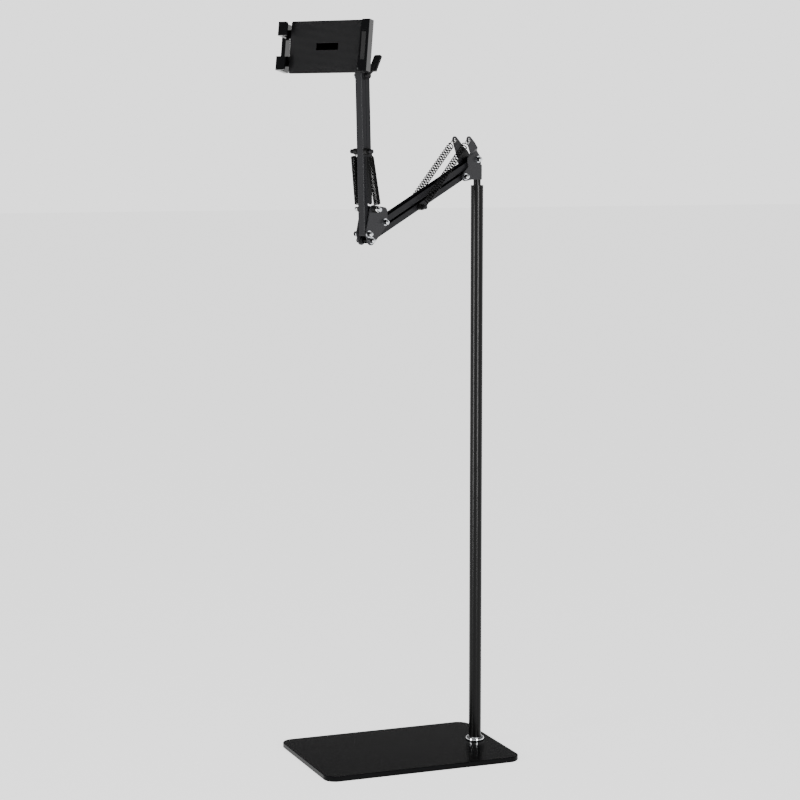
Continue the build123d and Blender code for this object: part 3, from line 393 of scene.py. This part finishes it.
def spring_path(start, end, curls, lead, trail, hook_start, hook_end, ear):
    """Points along a spring's wire, a direction square to it at each, and a mark that is 1 on bare wire. The
    coil is start + s * a + r * (cos v * x + sin v * y), with s and v even along it. Its radius r opens from
    the first hook's and closes to the last one's as 3 u^2 - 2 u^3, each over a third of a curl."""
    length = np.linalg.norm(end - start)
    a = (end - start) / length
    y = NEAR - a * (NEAR @ a)
    y /= np.linalg.norm(y)
    x = np.cross(y, a)
    if ear:
        out = y
        first_angle = math.pi / 2
        first, first_square = hook(
            start + a * hook_start, hook_start, out, a, -EAR_HOOK_SWEEP, 0, EAR_HOOK_POINTS
        )
    else:
        out = x
        first_angle = 0.0
        first, first_square = hook(start, hook_start, out, a, -PIN_HOOK_SWEEP, 0, PIN_HOOK_POINTS)
    last, last_square = hook(end, hook_end, x, a, 0, PIN_HOOK_SWEEP, PIN_HOOK_POINTS)
    t = np.linspace(0, 1, int(curls * CURL_POINTS))
    u = np.clip(np.minimum(t, 1 - t) / (OPENING_CURLS / curls), 0, 1)
    turns = curls - first_angle / (2 * math.pi)
    v = first_angle + 2 * math.pi * turns * t
    radial = np.cos(v)[:, None] * x + np.sin(v)[:, None] * y
    closed = np.where(t < 0.5, hook_start, hook_end)
    r = closed + (COIL - closed) * (u * u * (3 - 2 * u))
    s = lead + (length - lead - trail) * t
    coil = start + s[:, None] * a + radial * r[:, None]
    run_in = straight(first[-1], coil[0])
    run_out = straight(coil[-1], last[0])
    out_rows = np.repeat(out[None], RUN_POINTS, 0)
    x_rows = np.repeat(x[None], RUN_POINTS, 0)
    points = np.vstack([first, run_in, coil, run_out, last])
    square = np.vstack([first_square, out_rows, radial, x_rows, last_square])
    bare = np.zeros(len(points))
    if ear:
        bare[: len(first) + len(run_in)] = 1
    else:
        bare[-len(run_out) - len(last) :] = 1
    return points, square, bare


def wire(points, square, radius):
    """A round wire along a path: each point plus radius times cos t of its square direction and sin t of the
    one square to both that and the path, with t once round."""
    tangent = np.gradient(points, axis=0)
    tangent /= np.linalg.norm(tangent, axis=1)[:, None]
    square = square - tangent * np.sum(square * tangent, 1)[:, None]
    square /= np.linalg.norm(square, axis=1)[:, None]
    other = np.cross(tangent, square)
    t = np.linspace(0, 2 * math.pi, WIRE_SIDES, endpoint=False)
    ring = np.cos(t)[None, :, None] * square[:, None] + np.sin(t)[None, :, None] * other[:, None]
    return points[:, None] + radius * ring


# blackened spring wire: black with a dull gloss, and pale bare steel where the attribute "bare" is 1
spring_wire, tree, shader = finish("blackened_spring_wire", "#070707", Specular_IOR_Level=0.06)
grained(tree, shader, size_mm=0.5, height_mm=0.01, rough_from=0.25, rough_to=0.35)
mark = add(tree, "ShaderNodeAttribute", {"attribute_name": "bare"}, {})
two_colours(tree, shader, mark.outputs["Fac"], "#080808", "#c4c4c2")
tree.links.new(mark.outputs["Fac"], shader.inputs["Metallic"])

EAR = (39.7, 16.5, 1076.6)
LOWER_PIN = (154.8, 18.0, 963.68)
UPPER_PIN = (283.31, 18.0, 1057.0)
POST = (268.46, 22.5, 962.01)
LOWER_SHAPE = {"curls": 25, "lead": 0.0125, "trail": 0.0135, "hook_start": EAR_HOOK, "ear": True}
UPPER_SHAPE = {"curls": 37, "lead": 0.0085, "trail": 0.008, "hook_start": PIN_HOOK, "ear": False}
for side in ("near", "far"):
    for name, start, end, shape, bodies in (
        ("lower_spring_", EAR, LOWER_PIN, LOWER_SHAPE, ("shoulder", "lower_link")),
        ("upper_spring_", UPPER_PIN, POST, UPPER_SHAPE, ("upper_arm", "elbow")),
    ):
        p0 = in_arm(*start)
        p1 = in_arm(*end)
        points, square, bare = spring_path(p0, p1, hook_end=PIN_HOOK, **shape)
        if side == "far":
            points = mirrored(points, POLE_FOOT)
            square = mirrored(square, np.zeros(3))
            p0 = mirrored(p0, POLE_FOOT)
            p1 = mirrored(p1, POLE_FOOT)
        grid = wire(points, square, WIRE)
        nodes = [name + side]
        piece = laid(name + side + "_wound", grid, spring_wire, nodes, close_rows=False)
        marks = piece.data.attributes.new("bare", "FLOAT", "POINT")
        marks.data.foreach_set("value", np.repeat(bare, WIRE_SIDES))
        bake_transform(piece)

# The head: a cast yoke that tilts on the tip block about a bolt, with a lever that locks it. A turned stub
# stands in the yoke's boss, held by a clip, and carries the holder.

# coated casting: satin black, a little uneven
yoke_coat, tree, shader = finish("satin_black_coated_casting", "#0a0a0b", Specular_IOR_Level=0.15)
grained(tree, shader, size_mm=1.2, height_mm=0.03, rough_from=0.34, rough_to=0.48)
dress(yoke_coat, "tilt_yoke", "lever_shank")
dress(zinc, "tilt_bolt", "swivel_clip")
dress(bare_steel, "swivel_stub")

# moulded ABS with a fine grain: matt black that still takes a faint sheen
abs_black, tree, shader = finish("fine_grained_black_abs", "#0a0a0b", Specular_IOR_Level=0.2)
grained(tree, shader, size_mm=0.9, height_mm=0.05, rough_from=0.36, rough_to=0.5)
dress(abs_black, "lever_blade")

# The holder: a moulded shell screwed behind a textured panel, with a fixed jaw and a sprung sliding jaw, all
# in black ABS. It turns on a steel ball stud in a socket that a ring nut tightens.
dress(abs_black, "holder_shell", "ball_socket", "ring_nut")
dress(bare_steel, "ball_stud")
dress(zinc, "panel_screws", "socket_screws", "jaw_springs")

# the jaws: the same plastic from a polished mould, so black that turns bright only where it mirrors a light
gloss_abs, tree, shader = finish("polished_black_abs", "#050506", Specular_IOR_Level=0.4)
grained(tree, shader, size_mm=60.0, height_mm=0.01, rough_from=0.09, rough_to=0.13)
dress(gloss_abs, "fixed_jaw", "sliding_jaw")

# rubber and foam strips, which a phone's sides rest on: matt dark grey on the fixed jaw, black on the other
rubber, tree, shader = finish("matt_grey_rubber", "#1d1d1d", Specular_IOR_Level=0.2)
grained(tree, shader, size_mm=0.7, height_mm=0.03, rough_from=0.6, rough_to=0.8)
dress(rubber, "fixed_jaw_pad")
dress(foam, "sliding_jaw_pad")

# the panel's face: dark grey with a fine diagonal check moulded in, and its sunk field at the middle painted
# black and without specular, as painted shade in the recess.
HOLDER_TURN = math.radians(17.0)
HOLDER_TILT = math.radians(9.0)
LEVEL = math.cos(HOLDER_TURN) * FORWARD + math.sin(HOLDER_TURN) * NEAR
OUTWARD = math.cos(HOLDER_TILT) * LEVEL + math.sin(HOLDER_TILT) * UP
ACROSS = math.cos(HOLDER_TURN) * NEAR - math.sin(HOLDER_TURN) * FORWARD
UPWARD = np.cross(OUTWARD, ACROSS)
CHECK_PITCH = 0.0026
CHECK_DEPTH = 0.0003
FACE_SHEEN = 0.12
# the field's floor is 0.63 mm out from the middle of the panel's box, and the rest of the face 1.03 or more
FACE_FROM = 0.00085
PANEL_MIDDLE = np.array(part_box("holder_panel")).mean(0)
panel_face, tree, shader = finish("checked_dark_grey_abs", "#0d0d0e")
waves = []
for diagonal in (ACROSS + UPWARD, ACROSS - UPWARD):
    run = distance_along(tree, diagonal / math.sqrt(2), PANEL_MIDDLE)
    phase = add(tree, "ShaderNodeMath", {"operation": "MULTIPLY", 1: 2 * math.pi / CHECK_PITCH}, {0: run})
    waves.append(add(tree, "ShaderNodeMath", {"operation": "SINE"}, {0: phase.outputs[0]}))
check = add(
    tree, "ShaderNodeMath", {"operation": "MULTIPLY"}, {0: waves[0].outputs[0], 1: waves[1].outputs[0]}
)
bump = add(
    tree, "ShaderNodeBump", {"Strength": 0.8, "Distance": CHECK_DEPTH}, {"Height": check.outputs[0]}
)
tree.links.new(bump.outputs["Normal"], shader.inputs["Normal"])
rough = add(
    tree,
    "ShaderNodeMapRange",
    {"From Min": -1.0, "From Max": 1.0, "To Min": 0.35, "To Max": 0.55},
    {"Value": check.outputs[0]},
)
tree.links.new(rough.outputs["Result"], shader.inputs["Roughness"])
# painted shade: the sunk field below FACE_FROM is coloured pure black and gets no specular, so it shows no
# reflection
proud = beyond(tree, OUTWARD, PANEL_MIDDLE, FACE_FROM)
two_colours(tree, shader, proud, "#000000", "#0d0d0e")
sheen = add(tree, "ShaderNodeMath", {"operation": "MULTIPLY", 1: FACE_SHEEN}, {0: proud})
tree.links.new(sheen.outputs[0], shader.inputs["Specular IOR Level"])
dress(panel_face, "holder_panel")

# The studio: a pale floor that runs on into a pale backdrop, two tall soft boxes and one overhead, and the
# camera where the photographer stood.
WHITE = (1.0, 1.0, 1.0, 1.0)
FLOOR_REACH = 30.0

# matt white paper: an even pale ground that glows a little, so that only faint shadows show on it
paper, tree, shader = finish("white_paper", "#9a9a9a", Roughness=0.9, Specular_IOR_Level=0.0)
shader.inputs["Emission Color"].default_value = WHITE
shader.inputs["Emission Strength"].default_value = 1.7
corners = [(x * FLOOR_REACH, y * FLOOR_REACH, 0) for x, y in ((-1, -1), (1, -1), (1, 1), (-1, 1))]
floor_mesh = bpy.data.meshes.new("studio_floor")
floor_mesh.from_pydata(corners, [], [(0, 1, 2, 3)])
floor_mesh.materials.append(paper)
floor = bpy.data.objects.new("studio_floor", floor_mesh)
bpy.context.collection.objects.link(floor)

# the soft boxes: placed from the pole's foot, in metres, to the right of the view, away from the camera and
# up, and all aimed at the middle of the object. Then come their width, height and power.
VIEW_TURN = math.radians(-21.57)
LOOK_RIGHT = np.array([math.cos(VIEW_TURN), math.sin(VIEW_TURN), 0.0])
LOOK_AWAY = np.array([-math.sin(VIEW_TURN), math.cos(VIEW_TURN), 0.0])
AIM = np.array([0.0, -0.05, 0.6])
for name, right, away, up, width, height, power in (
    ("left_soft_box", -1.95, -1.5, 0.65, 0.55, 1.3, 60),
    ("right_soft_box", 1.05, -2.3, 0.75, 0.55, 1.5, 80),
    ("top_soft_box", 0.0, 0.4, 3.2, 2.0, 2.0, 20),
):
    light = bpy.data.lights.new(name, "AREA")
    light.shape = "RECTANGLE"
    light.size = width
    light.size_y = height
    light.energy = power
    lamp = bpy.data.objects.new(name, light)
    place = POLE_FOOT + right * LOOK_RIGHT + away * LOOK_AWAY + up * UP
    lamp.location = place
    lamp.rotation_euler = mathutils.Vector(AIM - place).to_track_quat("-Z", "Y").to_euler()
    bpy.context.collection.objects.link(lamp)

# the backdrop: white all round, bright at the horizon and dim overhead, so that gloss stays dark from above
world = bpy.data.worlds.new("pale_studio")
bpy.context.scene.world = world
world.use_nodes = True
tree = world.node_tree
sky = tree.nodes["Background"]
sky.inputs["Color"].default_value = WHITE
way = add(tree, "ShaderNodeTexCoord", {}, {})
rise = add(tree, "ShaderNodeSeparateXYZ", {}, {0: way.outputs["Generated"]})
fall = add(
    tree,
    "ShaderNodeMapRange",
    {"interpolation_type": "SMOOTHSTEP", "From Min": 0.06, "From Max": 0.16, "To Min": 1.9, "To Max": 0.15},
    {"Value": rise.outputs["Z"]},
)
tree.links.new(fall.outputs["Result"], sky.inputs["Strength"])

# the camera: its focal length is known in pixels of the photograph, which is 800 wide
PHOTO_WIDTH = 800
PHOTO_FOCAL = 2198
SENSOR_WIDTH = 36.0
CAMERA_PLACE = (-1.3902, -3.5199, 1.0715)
LOOK_DOWN = 6.68
lens = bpy.data.cameras.new("photo_camera")
lens.sensor_width = SENSOR_WIDTH
lens.lens = SENSOR_WIDTH * PHOTO_FOCAL / PHOTO_WIDTH
camera = bpy.data.objects.new("photo_camera", lens)
camera.location = CAMERA_PLACE
camera.rotation_euler = (math.radians(90 - LOOK_DOWN), 0.0, VIEW_TURN)
bpy.context.collection.objects.link(camera)
bpy.context.scene.camera = camera
